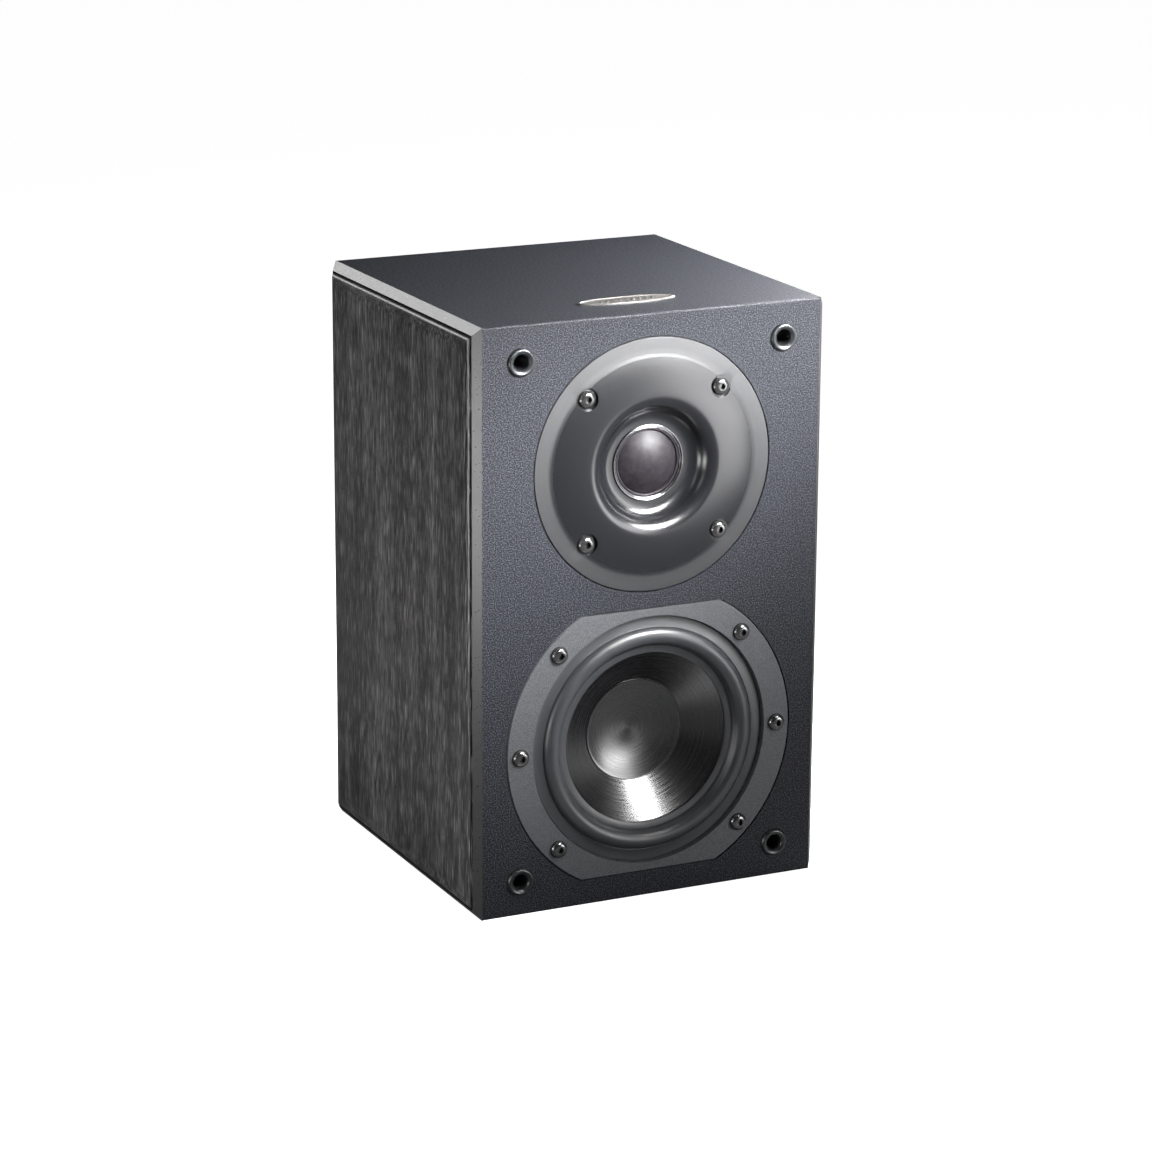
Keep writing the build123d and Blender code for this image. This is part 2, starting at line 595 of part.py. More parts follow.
def air_coil(outer, inner, height):
    """An air-cored inductor on a flanged bobbin, standing on the board."""
    outline = Polyline(
        (inner, 0), (outer + 1, 0), (outer + 1, 1), (outer, 1), (outer, height - 1), (outer + 1, height - 1),
        (outer + 1, height), (inner, height), close=True,
    )
    return Rot(90, 0, 0) * revolve(make_face(outline), Axis.Y)


save("woofer_inductor", Pos(-16, 24, BOARD_TOP) * air_coil(16, 7, 15))
save("tweeter_inductor", Pos(20, 14, BOARD_TOP) * air_coil(10, 4.5, 10))

capacitor = Rot(0, 90, 0) * fillet(Cylinder(5.5, 24).edges(), 1.0)
capacitors = [Pos(18, y, BOARD_TOP + 5.5) * capacitor for y in (32, 44)]
save("crossover_capacitors", Compound(capacitors))
save("crossover_resistor", Pos(-16, 49, BOARD_TOP + 4) * fillet(Box(22, 8, 8).edges(), 0.6))


# ---------------------------------------------------------------- port and wall-mount insert
PORT_LIP = 2.0
port_end = DEPTH + PORT_LIP
port_outline = (
    Polyline((PORT_R, port_end - PORT_LENGTH), (PORT_R, port_end - 8))
    + ThreePointArc((PORT_R, port_end - 8), (PORT_R + 2, port_end - 3), (PORT_R + 6, port_end))
    + Polyline(
        (PORT_R + 6, port_end), (PORT_FLANGE_R - 1, port_end), (PORT_FLANGE_R, port_end - 1),
        (PORT_FLANGE_R, DEPTH), (PORT_R + PORT_WALL, DEPTH), (PORT_R + PORT_WALL, port_end - PORT_LENGTH),
        (PORT_R, port_end - PORT_LENGTH),
    )
)
save("port_tube", lathe(port_outline, PORT_Z))

insert = Polyline(
    (INSERT_BORE_R, DEPTH - INSERT_LENGTH), (INSERT_R, DEPTH - INSERT_LENGTH), (INSERT_R, DEPTH),
    (INSERT_BORE_R + 0.4, DEPTH), (INSERT_BORE_R, DEPTH - 0.4), close=True,
)
save("wall_mount_insert", lathe(insert, INSERT_Z))


# ---------------------------------------------------------------- terminal cup and binding posts
CUP_FLOOR_Y = BACK_Y - CUP_DEPTH
CUP_SCREW_PASS_R = 1.7
cup = upright(Pos(0, CUP_Z) * RectangleRounded(CUP_FLANGE, CUP_FLANGE, CUP_CORNER + 0.5), BACK_Y, CUP_WALL)
cup = chamfer(cup.faces().sort_by(Axis.Y)[-1].outer_wire().edges(), 0.8)
cup += upright(Pos(0, CUP_Z) * RectangleRounded(CUP_BODY, CUP_BODY, CUP_CORNER), CUP_FLOOR_Y - CUP_WALL,
               CUP_DEPTH + CUP_WALL)
inside = CUP_BODY - 2 * CUP_WALL
cup -= upright(Pos(0, CUP_Z) * RectangleRounded(inside, inside, CUP_CORNER - 1.5), CUP_FLOOR_Y, CUP_DEPTH + 4)
for post_side in (-1, 1):
    cup -= rod(post_side * POST_X, CUP_Z, CUP_FLOOR_Y - CUP_WALL, POST_R + FREE, CUP_WALL)
for place in cup_screw_places():
    cup -= rod(*place, BACK_Y, CUP_SCREW_PASS_R, CUP_WALL)
save("terminal_cup", cup)


def cup_screw(x, z):
    """A small pan-head screw with a cross slot, its head on the cup's flange."""
    seat = DEPTH + CUP_WALL
    outline = (
        Polyline(
            (0, seat + 2), (0, seat - 11), (1.2, seat - 9.5), (1.2, seat), (2.9, seat), (2.9, seat + 0.8),
        )
        + ThreePointArc((2.9, seat + 0.8), (2.0, seat + 1.6), (0, seat + 2))
    )
    cross = Box(3.6, 2.4, 0.7) + Box(0.7, 2.4, 3.6)
    return Pos(x, 0, 0) * lathe(outline, z) - Pos(x, FRONT_Y + seat + 2, z) * cross


save("cup_screws", Compound([cup_screw(*place) for place in cup_screw_places()]))

COLLAR_END = CUP_FLOOR_Y + COLLAR
WASHER_Y = COLLAR_END + CLEAR
KNOB_Y = WASHER_Y + WASHER + CLEAR
POST_END = KNOB_Y + KNOB_LENGTH
POST_START = CUP_FLOOR_Y - CUP_WALL - 10
WIRE_HOLE_R = 1.2
COLLAR_R = 7.0
WASHER_R = 6.0
NUT_R = 5.2
NUT = 4.0


def post_stud(x):
    """A threaded stud with a plug bore in its end and a cross hole for bare wire."""
    stud = rod(x, CUP_Z, POST_START, POST_R, POST_END - POST_START)
    stud -= rod(x, CUP_Z, POST_END - POST_BORE, POST_BORE_R, POST_BORE)
    stud -= Pos(x, COLLAR_END + 1.6, CUP_Z) * Cylinder(WIRE_HOLE_R, 10)
    return stud


def post_collar(x):
    """The insulating collar between the cup's floor and the clamp."""
    collar = rod(x, CUP_Z, CUP_FLOOR_Y, COLLAR_R, COLLAR)
    collar = chamfer(collar.edges().group_by(Axis.Y)[-1], 0.6)
    return collar - rod(x, CUP_Z, CUP_FLOOR_Y, POST_R + FREE, COLLAR)


def post_nut(x):
    """The hexagon nut that holds a stud from inside the cabinet."""
    start = CUP_FLOOR_Y - CUP_WALL - NUT
    nut = upright(Pos(x, CUP_Z) * RegularPolygon(NUT_R, 6), start, NUT)
    return nut - rod(x, CUP_Z, start, POST_R + FREE, NUT)


def clamp_washer(x):
    """The washer that presses a bare wire against the collar."""
    return rod(x, CUP_Z, WASHER_Y, WASHER_R, WASHER) - rod(x, CUP_Z, WASHER_Y, POST_R + RUNNING, WASHER)


def terminal_knob(x):
    """The fluted nut of a binding post, with a coloured skirt and a chamfered end."""
    knob = rod(x, CUP_Z, KNOB_Y, KNOB_R, KNOB_LENGTH)
    knob = chamfer(knob.edges().group_by(Axis.Y)[-1], 0.8)
    flute_circle = KNOB_R + FLUTE_R / 2
    for flute in range(KNOB_FLUTES):
        turn = 2 * pi * flute / KNOB_FLUTES
        groove = rod(flute_circle * cos(turn), flute_circle * sin(turn), KNOB_Y + 2.5, FLUTE_R, KNOB_LENGTH)
        knob -= Pos(x, 0, CUP_Z) * groove
    return knob - rod(x, CUP_Z, KNOB_Y, POST_R + RUNNING, KNOB_LENGTH)


both = (-POST_X, POST_X)
save("terminal_studs", Compound([post_stud(x) for x in both]))
save("terminal_collars", Compound([post_collar(x) for x in both]))
save("terminal_nuts", Compound([post_nut(x) for x in both]))
save("clamp_washer_red", clamp_washer(POST_X))
save("clamp_washer_black", clamp_washer(-POST_X))
save("terminal_knob_red", terminal_knob(POST_X))
save("terminal_knob_black", terminal_knob(-POST_X))


# ---------------------------------------------------------------- acoustic wadding
WADDING = 8.0
WADDING_FROM_Y = -28.0
WADDING_TO_Y = 44.0
WADDING_LOW_Z = 105.0
room_x = FACE_X - SIDE_BOARD - 0.4
room_z = HEIGHT - BOARD - 0.4
lining = make_face(Polyline(
    (-room_x, WADDING_LOW_Z), (-room_x, room_z), (room_x, room_z), (room_x, WADDING_LOW_Z),
    (room_x - WADDING, WADDING_LOW_Z), (room_x - WADDING, room_z - WADDING),
    (-room_x + WADDING, room_z - WADDING), (-room_x + WADDING, WADDING_LOW_Z), close=True,
))
save("acoustic_wadding", upright(lining, WADDING_FROM_Y, WADDING_TO_Y - WADDING_FROM_Y))
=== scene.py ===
# %% [markdown]
# # A two-way bookshelf speaker
# The speaker's frame comes from a imported CAD model: every board, screw and coil is already in
# its real place, in metres. This script adds what the eye judges: smooth turned parts, soft
# edges, and a finish with real grain for every surface. The frame is loaded first. The finished
# speaker has to stay inside it.

# %% Load the frame
import bpy
import json
from math import atan2, cos, hypot, pi, radians, sin
from mathutils import Euler, Matrix, Vector
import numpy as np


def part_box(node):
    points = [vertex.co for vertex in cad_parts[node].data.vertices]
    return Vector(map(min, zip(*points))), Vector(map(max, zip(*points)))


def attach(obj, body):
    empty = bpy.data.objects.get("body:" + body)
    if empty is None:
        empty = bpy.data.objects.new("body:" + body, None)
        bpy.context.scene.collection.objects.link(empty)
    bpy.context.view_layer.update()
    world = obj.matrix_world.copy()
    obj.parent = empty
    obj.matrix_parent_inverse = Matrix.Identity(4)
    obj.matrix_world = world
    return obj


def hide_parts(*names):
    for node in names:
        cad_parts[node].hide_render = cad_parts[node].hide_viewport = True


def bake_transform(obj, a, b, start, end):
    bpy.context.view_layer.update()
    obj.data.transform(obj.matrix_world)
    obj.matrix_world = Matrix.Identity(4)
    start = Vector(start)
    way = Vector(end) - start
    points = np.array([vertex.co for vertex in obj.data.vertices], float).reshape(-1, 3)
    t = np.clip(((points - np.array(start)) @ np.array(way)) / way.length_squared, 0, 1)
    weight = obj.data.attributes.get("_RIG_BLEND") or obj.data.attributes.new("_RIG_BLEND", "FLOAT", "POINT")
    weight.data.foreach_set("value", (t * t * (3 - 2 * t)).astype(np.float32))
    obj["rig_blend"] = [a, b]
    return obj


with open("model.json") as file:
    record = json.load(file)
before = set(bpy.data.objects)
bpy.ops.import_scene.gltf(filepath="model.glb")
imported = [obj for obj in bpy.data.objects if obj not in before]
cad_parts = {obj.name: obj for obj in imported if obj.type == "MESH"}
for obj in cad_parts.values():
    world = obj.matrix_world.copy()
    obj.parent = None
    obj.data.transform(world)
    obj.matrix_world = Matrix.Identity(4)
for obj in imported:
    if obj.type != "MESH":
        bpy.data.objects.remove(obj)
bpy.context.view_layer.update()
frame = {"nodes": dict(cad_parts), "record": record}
nodes = frame["nodes"]
record = frame["record"]
slot_of = {row["node"]: row["material_slot"] for row in record["subparts"]}
body_of = {node: body for body, members in record["behaviour"]["bodies"].items() for node in members}
MM = 0.001

# %% [markdown]
# Many places are read from the frame, so nothing has to be fitted by hand. The drivers are
# turned parts, and a turned part needs only its axis and the depth of the front face.

# %% Places taken from the frame
front_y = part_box("front_baffle")[0].y
top_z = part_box("top_panel")[1].z


def middle(node):
    low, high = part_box(node)
    return (low + high) / 2


woofer_axis = middle("woofer_cone")
tweeter_axis = middle("tweeter_dome")
print("woofer axis", woofer_axis, "tweeter axis", tweeter_axis)

# %% [markdown]
# ## Tools for turned parts
# On a lathe a part is one outline turned about an axis. The same works here: a single point is
# extruded along the outline, and the spin operator sweeps it round. The alternative, a stack of
# cylinders, would leave steps where the real part flows. Round stretches of an outline are
# worked out as points on an arc, so the outline stays a short list.

# %% Selection and outline helpers
def select_only(*pieces):
    bpy.ops.object.select_all(action="DESELECT")
    for piece in pieces:
        piece.select_set(True)
    bpy.context.view_layer.objects.active = pieces[0]


def arc(start, through, end, count=8):
    """Points on the circle through three points, without the first one."""
    (ax, ay), (bx, by), (cx, cy) = start, through, end
    d = 2 * (ax * (by - cy) + bx * (cy - ay) + cx * (ay - by))
    a2, b2, c2 = ax * ax + ay * ay, bx * bx + by * by, cx * cx + cy * cy
    ux = (a2 * (by - cy) + b2 * (cy - ay) + c2 * (ay - by)) / d
    uy = (a2 * (cx - bx) + b2 * (ax - cx) + c2 * (bx - ax)) / d
    radius = hypot(ax - ux, ay - uy)
    first = atan2(ay - uy, ax - ux)
    mid = (atan2(by - uy, bx - ux) - first) % (2 * pi)
    last = (atan2(cy - uy, cx - ux) - first) % (2 * pi)
    sweep = last if mid < last else last - 2 * pi
    angles = [first + sweep * step / count for step in range(1, count + 1)]
    return [(ux + radius * cos(angle), uy + radius * sin(angle)) for angle in angles]


def turned(name, outline, axis_point, steps=144, closed=True, front=None):
    """Spin an outline of (radius, depth behind the front) in millimetres about a level axis."""
    y0 = front_y if front is None else front
    places = [Vector((axis_point.x + r * MM, y0 + d * MM, axis_point.z)) for r, d in outline]
    if closed:
        places.append(places[0])
    bpy.ops.object.select_all(action="DESELECT")
    bpy.ops.mesh.primitive_plane_add(size=0.001, location=(0, 0, 0))
    piece = bpy.context.object
    piece.name = name
    piece.data.name = name
    bpy.ops.object.mode_set(mode="EDIT")
    bpy.ops.mesh.select_mode(type="VERT")
    bpy.ops.mesh.select_all(action="SELECT")
    bpy.ops.mesh.merge(type="CENTER")
    bpy.ops.transform.translate(value=places[0])
    for here, there in zip(places, places[1:]):
        bpy.ops.mesh.extrude_vertices_move(TRANSFORM_OT_translate={"value": there - here})
    bpy.ops.mesh.select_all(action="SELECT")
    bpy.ops.mesh.spin(steps=steps, angle=2 * pi, center=(axis_point.x, 0, axis_point.z), axis=(0, 1, 0))
    bpy.ops.mesh.select_all(action="SELECT")
    bpy.ops.mesh.remove_doubles(threshold=0.000002)
    bpy.ops.mesh.normals_make_consistent(inside=False)
    bpy.ops.object.mode_set(mode="OBJECT")
    bpy.ops.object.shade_smooth_by_angle(angle=radians(38))
    return piece


def apply_modifiers(piece):
    select_only(piece)
    for modifier in list(piece.modifiers):
        bpy.ops.object.modifier_apply(modifier=modifier.name)


def cut(piece, *tools):
    """Cut closed tools out of a piece and remove them."""
    for tool in tools:
        knife = piece.modifiers.new("cut", "BOOLEAN")
        knife.object = tool
        knife.solver = "EXACT"
        select_only(piece)
        bpy.ops.object.modifier_apply(modifier=knife.name)
        bpy.data.objects.remove(tool)
    select_only(piece)
    bpy.ops.object.shade_smooth_by_angle(angle=radians(38))


def copy_to(piece, name, offset):
    """A copy with its own mesh, moved by an offset."""
    twin = piece.copy()
    twin.data = piece.data.copy()
    twin.name = name
    twin.data.name = name
    twin.data.transform(Matrix.Translation(offset))
    bpy.context.scene.collection.objects.link(twin)
    return twin


def joined(name, pieces):
    select_only(*pieces)
    bpy.ops.object.join()
    whole = bpy.context.object
    whole.name = name
    whole.data.name = name
    return whole


def stand_for(piece, node, material):
    """Give a piece its finish and body, and let it stand for a CAD node."""
    piece.data.materials.clear()
    piece.data.materials.append(material)
    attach(piece, body_of[node])
    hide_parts(node)
    print(piece.name, "stands for", node, "with", len(piece.data.polygons), "faces")


# %% [markdown]
# ## Tools for finishes
# Every finish starts from the Principled shader. Patterns read Object coordinates in metres, so
# a noise scale of 1000 gives grains about a millimetre wide. Three small helpers keep each
# material short: a noise, a two-stop ramp and a bump.

# %% Material helpers
class Finish:
    """A Principled material with helpers for patterns in Object coordinates."""

    def __init__(self, name, colour, roughness, metallic=0.0):
        self.material = bpy.data.materials.new(name)
        self.material.use_nodes = True
        self.nodes = self.material.node_tree.nodes
        self.links = self.material.node_tree.links
        self.shader = self.nodes["Principled BSDF"]
        self.shader.inputs["Base Color"].default_value = (*colour, 1)
        self.shader.inputs["Roughness"].default_value = roughness
        self.shader.inputs["Metallic"].default_value = metallic
        self.place = self.nodes.new("ShaderNodeTexCoord").outputs["Object"]

    def stretched(self, scale):
        mapping = self.nodes.new("ShaderNodeMapping")
        mapping.inputs["Scale"].default_value = scale
        self.links.new(self.place, mapping.inputs["Vector"])
        return mapping.outputs["Vector"]

    def noise(self, scale, detail=3.0, vector=None, distortion=0.0):
        node = self.nodes.new("ShaderNodeTexNoise")
        node.inputs["Scale"].default_value = scale
        node.inputs["Detail"].default_value = detail
        node.inputs["Distortion"].default_value = distortion
        self.links.new(vector or self.place, node.inputs["Vector"])
        return node.outputs["Fac"]

    def ramp(self, value, stops):
        node = self.nodes.new("ShaderNodeValToRGB")
        ramp = node.color_ramp
        while len(ramp.elements) < len(stops):
            ramp.elements.new(0.5)
        for element, (position, grey) in zip(ramp.elements, stops):
            element.position = position
            element.color = (*grey, 1) if isinstance(grey, tuple) else (grey, grey, grey, 1)
        self.links.new(value, node.inputs["Fac"])
        return node.outputs["Color"]

    def math(self, kind, first, second):
        node = self.nodes.new("ShaderNodeMath")
        node.operation = kind
        for socket, value in zip(node.inputs, (first, second)):
            if isinstance(value, (int, float)):
                socket.default_value = value
            else:
                self.links.new(value, socket)
        return node.outputs["Value"]

    def colour(self, output):
        self.links.new(output, self.shader.inputs["Base Color"])

    def roughness(self, output):
        self.links.new(output, self.shader.inputs["Roughness"])

    def bump(self, height, strength, distance):
        node = self.nodes.new("ShaderNodeBump")
        node.inputs["Strength"].default_value = strength
        node.inputs["Distance"].default_value = distance
        self.links.new(height, node.inputs["Height"])
        previous = self.shader.inputs["Normal"].links
        if previous:
            self.links.new(previous[0].from_socket, node.inputs["Normal"])
        self.links.new(node.outputs["Normal"], self.shader.inputs["Normal"])

    def radius(self, centre):
        """Distance from a level axis through centre, in metres."""
        split = self.nodes.new("ShaderNodeSeparateXYZ")
        self.links.new(self.place, split.inputs["Vector"])
        x = self.math("SUBTRACT", split.outputs["X"], centre.x)
        z = self.math("SUBTRACT", split.outputs["Z"], centre.z)
        square = self.math("ADD", self.math("MULTIPLY", x, x), self.math("MULTIPLY", z, z))
        return self.math("SQRT", square, 0.0)


def paint(node, material):
    """Put a finish on a CAD node that keeps its own mesh."""
    slots = nodes[node].data.materials
    if len(slots):
        slots[0] = material
    else:
        slots.append(material)


# %% [markdown]
# ## Cabinet skin
# The front, top, bottom and back are one fibreboard strip folded round, wrapped in black vinyl
# with a fine pebbled print. Up close it is charcoal with lighter and darker specks under half a
# millimetre across. Three noises make the print: one each for colour, gloss and tiny relief.

# %% Pebbled vinyl
def make_vinyl():
    vinyl = Finish("pebbled_vinyl", (0.045, 0.047, 0.052), 0.5)
    specks = vinyl.noise(2000, 2.0)
    vinyl.colour(vinyl.ramp(specks, [(0.38, (0.0015, 0.0017, 0.0022)), (0.5, (0.0068, 0.0073, 0.009)),
                                     (0.64, (0.038, 0.04, 0.049))]))
    vinyl.roughness(vinyl.ramp(vinyl.noise(900, 2.0), [(0.3, 0.42), (0.7, 0.6)]))
    vinyl.bump(vinyl.noise(1400, 3.0), 0.35, 0.00012)
    vinyl.shader.inputs["Specular IOR Level"].default_value = 0.12
    return vinyl.material


vinyl = make_vinyl()
for node in ("front_baffle", "top_panel", "bottom_panel", "back_panel"):
    paint(node, vinyl)

# %% [markdown]
# ## Black ash side panels
# The side panels are fibreboard under a black ash foil: long upright pores that catch the
# light. A noise squeezed across the grain and stretched along it draws the pores, and a second,
# broader one the growth bands.

# %% Black ash
def make_ash():
    ash = Finish("black_ash", (0.03, 0.028, 0.028), 0.42)
    pores = ash.noise(1.0, 3.0, ash.stretched((3400, 3400, 95)))
    bands = ash.noise(1.0, 3.0, ash.stretched((160, 160, 6)), 0.6)
    mixed = ash.math("ADD", ash.math("MULTIPLY", pores, 0.82), ash.math("MULTIPLY", bands, 0.18))
    ash.colour(ash.ramp(mixed, [(0.44, (0.003, 0.0028, 0.003)), (0.53, (0.011, 0.0105, 0.011)),
                                (0.61, (0.24, 0.236, 0.24))]))
    ash.roughness(ash.ramp(pores, [(0.35, 0.34), (0.65, 0.55)]))
    ash.bump(pores, 0.25, 0.00008)
    ash.shader.inputs["Coat Weight"].default_value = 0.4
    ash.shader.inputs["Coat Roughness"].default_value = 0.28
    return ash.material


ash = make_ash()

# %% Trim plastic
def make_trim():
    trim = Finish("satin_trim", (0.022, 0.02, 0.02), 0.3)
    trim.roughness(trim.ramp(trim.noise(900, 2.0), [(0.3, 0.27), (0.7, 0.33)]))
    trim.bump(trim.noise(700, 2.0), 0.08, 0.00005)
    return trim.material


trim_plastic = make_trim()
for node in ("edge_trim_right", "edge_trim_left"):
    paint(node, trim_plastic)

# %% [markdown]
# The side panel has a flat field inside a soft pillow-like border, mitred in the corners. It
# starts as a box the size of the CAD panel's plinth. The outer face is inset several times, each
# ring lifted along a quarter circle, which gives the border a true round section.

# %% Side panels
def side_panel(node, side):
    low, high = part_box(node)
    foot_x = 0.0762 * side
    crown = abs(high.x if side > 0 else low.x) - abs(foot_x)
    bevel_width = 0.0065
    inner_x = 0.0745 * side
    bpy.ops.object.select_all(action="DESELECT")
    bpy.ops.mesh.primitive_cube_add(size=1, location=(0, 0, 0))
    panel = bpy.context.object
    panel.name = node + "_board"
    size = Vector((abs(foot_x - inner_x), high.y - low.y, high.z - low.z))
    centre = Vector(((foot_x + inner_x) / 2, (low.y + high.y) / 2, (low.z + high.z) / 2))
    panel.data.transform(Matrix.Translation(centre) @ Matrix.Diagonal((*size, 1)))
    bpy.ops.object.mode_set(mode="EDIT")
    bpy.ops.mesh.select_mode(type="FACE")
    bpy.ops.mesh.select_all(action="DESELECT")
    bpy.ops.object.mode_set(mode="OBJECT")
    for face in panel.data.polygons:
        face.select = face.normal.x * side > 0.9
    bpy.ops.object.mode_set(mode="EDIT")
    rings = 7
    before = (0.0, 0.0)
    for ring in range(1, rings + 1):
        turn = pi / 2 * ring / rings
        now = (bevel_width * (1 - cos(turn)), crown * sin(turn))
        bpy.ops.mesh.inset(thickness=now[0] - before[0], use_even_offset=True)
        bpy.ops.transform.translate(value=((now[1] - before[1]) * side, 0, 0))
        before = now
    bpy.ops.mesh.select_all(action="SELECT")
    bpy.ops.mesh.normals_make_consistent(inside=False)
    bpy.ops.object.mode_set(mode="OBJECT")
    bpy.ops.object.shade_smooth_by_angle(angle=radians(30))
    stand_for(panel, node, ash)


side_panel("side_panel_right", 1)
side_panel("side_panel_left", -1)

# %% [markdown]
# ## Tweeter
# The faceplate is moulded plastic: a flat matt rim, then a glossier hill that swells towards
# the middle and rolls into the throat around the dome. One outline holds it all. The four screw
# seats are round pockets that bite into the foot of the hill.

# %% Faceplate
def make_faceplate_plastic():
    plastic = Finish("faceplate_plastic", (0.02, 0.02, 0.022), 0.3)
    radius = plastic.radius(tweeter_axis)
    rim = plastic.ramp(radius, [(0.0448, 0.0), (0.0452, 1.0)])
    plastic.colour(plastic.ramp(rim, [(0.0, (0.004, 0.0042, 0.005)), (1.0, (0.0045, 0.0048, 0.006))]))
    grain = plastic.noise(1500, 2.0)
    rim_rough = plastic.math("MULTIPLY", rim, 0.42)
    grain_rough = plastic.math("MULTIPLY", grain, 0.08)
    plastic.roughness(plastic.math("ADD", grain_rough, plastic.math("ADD", rim_rough, 0.2)))
    plastic.bump(grain, 0.12, 0.00006)
    return plastic.material


plate_outline = (
    [(15.4, 8.0), (15.4, 4.6), (17.6, 4.6)]
    + arc((17.6, 4.6), (20.4, 3.5), (22.2, 1.4), 8)
    + arc((22.2, 1.4), (24.6, -1.2), (28.0, -2.2), 12)
    + arc((28.0, -2.2), (36.5, -1.5), (45.0, 0.0), 18)
    + [(51.0, 0.0)] + arc((51.0, 0.0), (51.17, 0.08), (51.25, 0.25), 3)
    + [(51.25, 3.2), (36.0, 3.2), (36.0, 8.0)]
)
faceplate = turned("tweeter_faceplate_moulding", plate_outline, tweeter_axis, 192)
screw_low, screw_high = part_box("tweeter_screws")
HEAD_R = 3.65
screw_reach = (screw_high.x - screw_low.x) / 2 - HEAD_R * MM
tweeter_screw_places = [
    Vector((tweeter_axis.x + sx * screw_reach, 0, tweeter_axis.z + sz * screw_reach))
    for sx in (-1, 1) for sz in (-1, 1)
]
pocket = [(0, -6), (4.6, -6), (4.6, 0.02), (0, 0.02)]
hole = [(0, -1), (2.1, -1), (2.1, 5), (0, 5)]
pockets = [turned("pocket", pocket, place, 48) for place in tweeter_screw_places]
holes = [turned("hole", hole, place, 32) for place in tweeter_screw_places]
cut(faceplate, joined("pockets", pockets), joined("holes", holes))
stand_for(faceplate, "tweeter_faceplate", make_faceplate_plastic())

# %% Trim ring, dome and roll
def make_polished_metal():
    metal = Finish("polished_ring", (0.24, 0.24, 0.25), 0.2, 1.0)
    metal.roughness(metal.ramp(metal.noise(400, 2.0), [(0.3, 0.14), (0.7, 0.26)]))
    return metal.material


def make_silk():
    silk = Finish("coated_silk", (0.008, 0.007, 0.009), 0.46)
    silk.shader.inputs["Specular IOR Level"].default_value = 0.15
    threads = silk.stretched((1, 1, 1))
    across = silk.nodes.new("ShaderNodeTexWave")
    across.inputs["Scale"].default_value = 900
    along = silk.nodes.new("ShaderNodeTexWave")
    along.bands_direction = "Z"
    along.inputs["Scale"].default_value = 900
    silk.links.new(threads, across.inputs["Vector"])
    silk.links.new(threads, along.inputs["Vector"])
    weave = silk.math("MULTIPLY", across.outputs["Fac"], along.outputs["Fac"])
    silk.colour(silk.ramp(silk.noise(500, 3.0), [(0.3, (0.004, 0.0035, 0.005)), (0.7, (0.012, 0.01, 0.012))]))
    silk.bump(weave, 0.25, 0.00005)
    return silk.material


silk = make_silk()
ring_outline = (
    [(14.1, 6.6), (15.35, 6.6), (15.35, 4.3)] + arc((15.35, 4.3), (15.05, 3.95), (14.75, 4.3), 8)
    + [(14.75, 5.0), (14.4, 5.0), (14.4, 4.6)] + arc((14.4, 4.6), (14.25, 4.5), (14.1, 4.6), 4)
)
ring = turned("tweeter_bright_ring", ring_outline, tweeter_axis, 160)
stand_for(ring, "tweeter_trim_ring", make_polished_metal())


def cap_points(rim, depth, apex, count):
    """Points of a round cap from its rim to its apex."""
    sag = depth - apex
    sphere = (rim**2 + sag**2) / (2 * sag)
    half = rim / 2
    middle_depth = apex + sphere - (1 if sphere > 0 else -1) * (sphere**2 - half**2) ** 0.5
    return [(rim, depth)] + arc((rim, depth), (half, middle_depth), (0, apex), count)


dome_outline = cap_points(12.8, 5.6, 1.3, 24) + cap_points(12.5, 5.6, 1.6, 16)[::-1]
dome = turned("tweeter_silk_dome", dome_outline, tweeter_axis, 128)
stand_for(dome, "tweeter_dome", silk)
roll_outline = (
    [(12.9, 5.6), (12.9, 5.3)] + arc((12.9, 5.3), (13.45, 4.9), (14.0, 5.3), 8)
    + [(14.0, 5.6)] + arc((14.0, 5.6), (13.45, 5.2), (12.9, 5.6), 8)[:-1]
)
tweeter_roll = turned("tweeter_dome_roll", roll_outline, tweeter_axis, 128)

# %% [markdown]
# ## Soft rolls that stretch
# The dome and the cone hang in flexible rolls. When a driver moves, the inner edge of its roll
# goes with it and the outer edge stays on the frame. Each point's share of the motion depends on
# its distance from the axis, so the shares are worked out from the radius.

# %% A roll that follows two bodies
def stretch_between(piece, moving_body, axis_point, outer_r, inner_r):
    """Let a round skin follow the cabinet outside outer_r and the moving body inside inner_r."""
    centre = Vector((axis_point.x, front_y, axis_point.z))
    outer_point = centre + Vector((outer_r, 0, 0))
    inner_point = centre + Vector((inner_r, 0, 0))
    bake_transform(piece, "cabinet", moving_body, start=outer_point, end=inner_point)
    shares = piece.data.attributes["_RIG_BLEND"].data
    for share, vertex in zip(shares, piece.data.vertices):
        reach = hypot(vertex.co.x - axis_point.x, vertex.co.z - axis_point.z)
        part = min(max((outer_r - reach) / (outer_r - inner_r), 0.0), 1.0)
        share.value = part * part * (3 - 2 * part)


def soft_part(piece, node, material, moving_body, axis_point, outer_r, inner_r):
    piece.data.materials.clear()
    piece.data.materials.append(material)
    stretch_between(piece, moving_body, axis_point, outer_r, inner_r)
    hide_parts(node)


soft_part(tweeter_roll, "tweeter_surround", silk, "tweeter dome assembly", tweeter_axis, 0.014, 0.0129)

# %% [markdown]
# ## Woofer
# The surround is a half-round rubber roll between a thin flange, glued to the basket, and an
# inner land, glued to the cone. The cone is a polished black skin with faint turning marks, and
# its dust cap is dished, so its lower half catches the light from above.

# %% Rubber surround
def make_rubber():
    rubber = Finish("satin_rubber", (0.016, 0.017, 0.019), 0.4)
    rubber.roughness(rubber.ramp(rubber.noise(140, 4.0), [(0.3, 0.33), (0.7, 0.46)]))
    rubber.bump(rubber.noise(1200, 2.0), 0.06, 0.00005)
    return rubber.material


